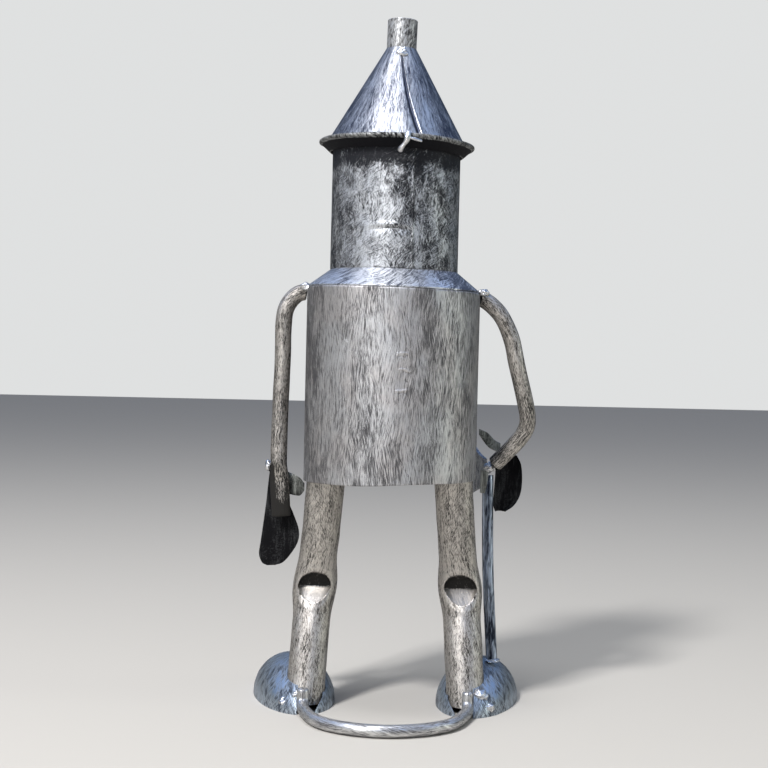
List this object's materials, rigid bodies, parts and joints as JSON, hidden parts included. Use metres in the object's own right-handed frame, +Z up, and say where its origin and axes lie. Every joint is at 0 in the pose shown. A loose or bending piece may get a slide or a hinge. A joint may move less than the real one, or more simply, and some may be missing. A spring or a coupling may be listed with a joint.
{
  "type": "sheet metal figure ornament",
  "caption": "Standing man figure welded from sheet metal cans and tube, with a cone hat, bent arms, an axe, half-egg feet and a heel bar.",
  "frame": {"origin": "centre of the bounding box at the ground", "axes": "+Z up along the figure, -Y is its front, +X is its left side"},
  "size_m": [0.1646, 0.1562, 0.3988],
  "materials": {
    "hat_sheet": "black paint dry-brushed with silver, long strokes down the cone",
    "can_sheet": "black paint dry-brushed with silver, streaky and scratched",
    "shoulder_sheet": "bright worn silver over black",
    "limb_tube": "black paint dry-brushed with silver along the tube",
    "foot_shell": "dark paint with thin silver strokes",
    "round_bar": "satin silver over black",
    "hand_sheet": "nearly plain black",
    "weld_bead": "bright bare weld metal",
    "face_trim": "black paint dry-brushed with silver"
  },
  "bodies": {
    "root": {"axe_blade": "hand_sheet", "axe_foot_weld": "weld_bead", "axe_handle": "round_bar", "chest_button_bottom": "face_trim", "chest_button_middle": "face_trim", "chest_button_top": "face_trim", "hat_brim": "hat_sheet", "hat_cone": "hat_sheet", "hat_rim_weld": "weld_bead", "hat_spout": "hat_sheet", "hat_spout_weld": "weld_bead", "head_shell": "can_sheet", "heel_loop": "round_bar", "left_ankle_weld": "weld_bead", "left_arm": "limb_tube", "left_eye": "face_trim", "left_foot": "foot_shell", "left_hand": "hand_sheet", "left_hip_weld": "weld_bead", "left_leg": "limb_tube", "left_loop_weld": "weld_bead", "left_shoulder_weld": "weld_bead", "left_thumb": "hand_sheet", "left_wrist_weld": "weld_bead", "mouth": "face_trim", "nose": "face_trim", "right_ankle_weld": "weld_bead", "right_arm": "limb_tube", "right_eye": "face_trim", "right_foot": "foot_shell", "right_hand": "hand_sheet", "right_hip_weld": "weld_bead", "right_leg": "limb_tube", "right_loop_weld": "weld_bead", "right_shoulder_weld": "weld_bead", "right_thumb": "hand_sheet", "right_wrist_weld": "weld_bead", "shoulder_cone": "shoulder_sheet", "torso_shell": "can_sheet"}
  },
  "joints": []
}
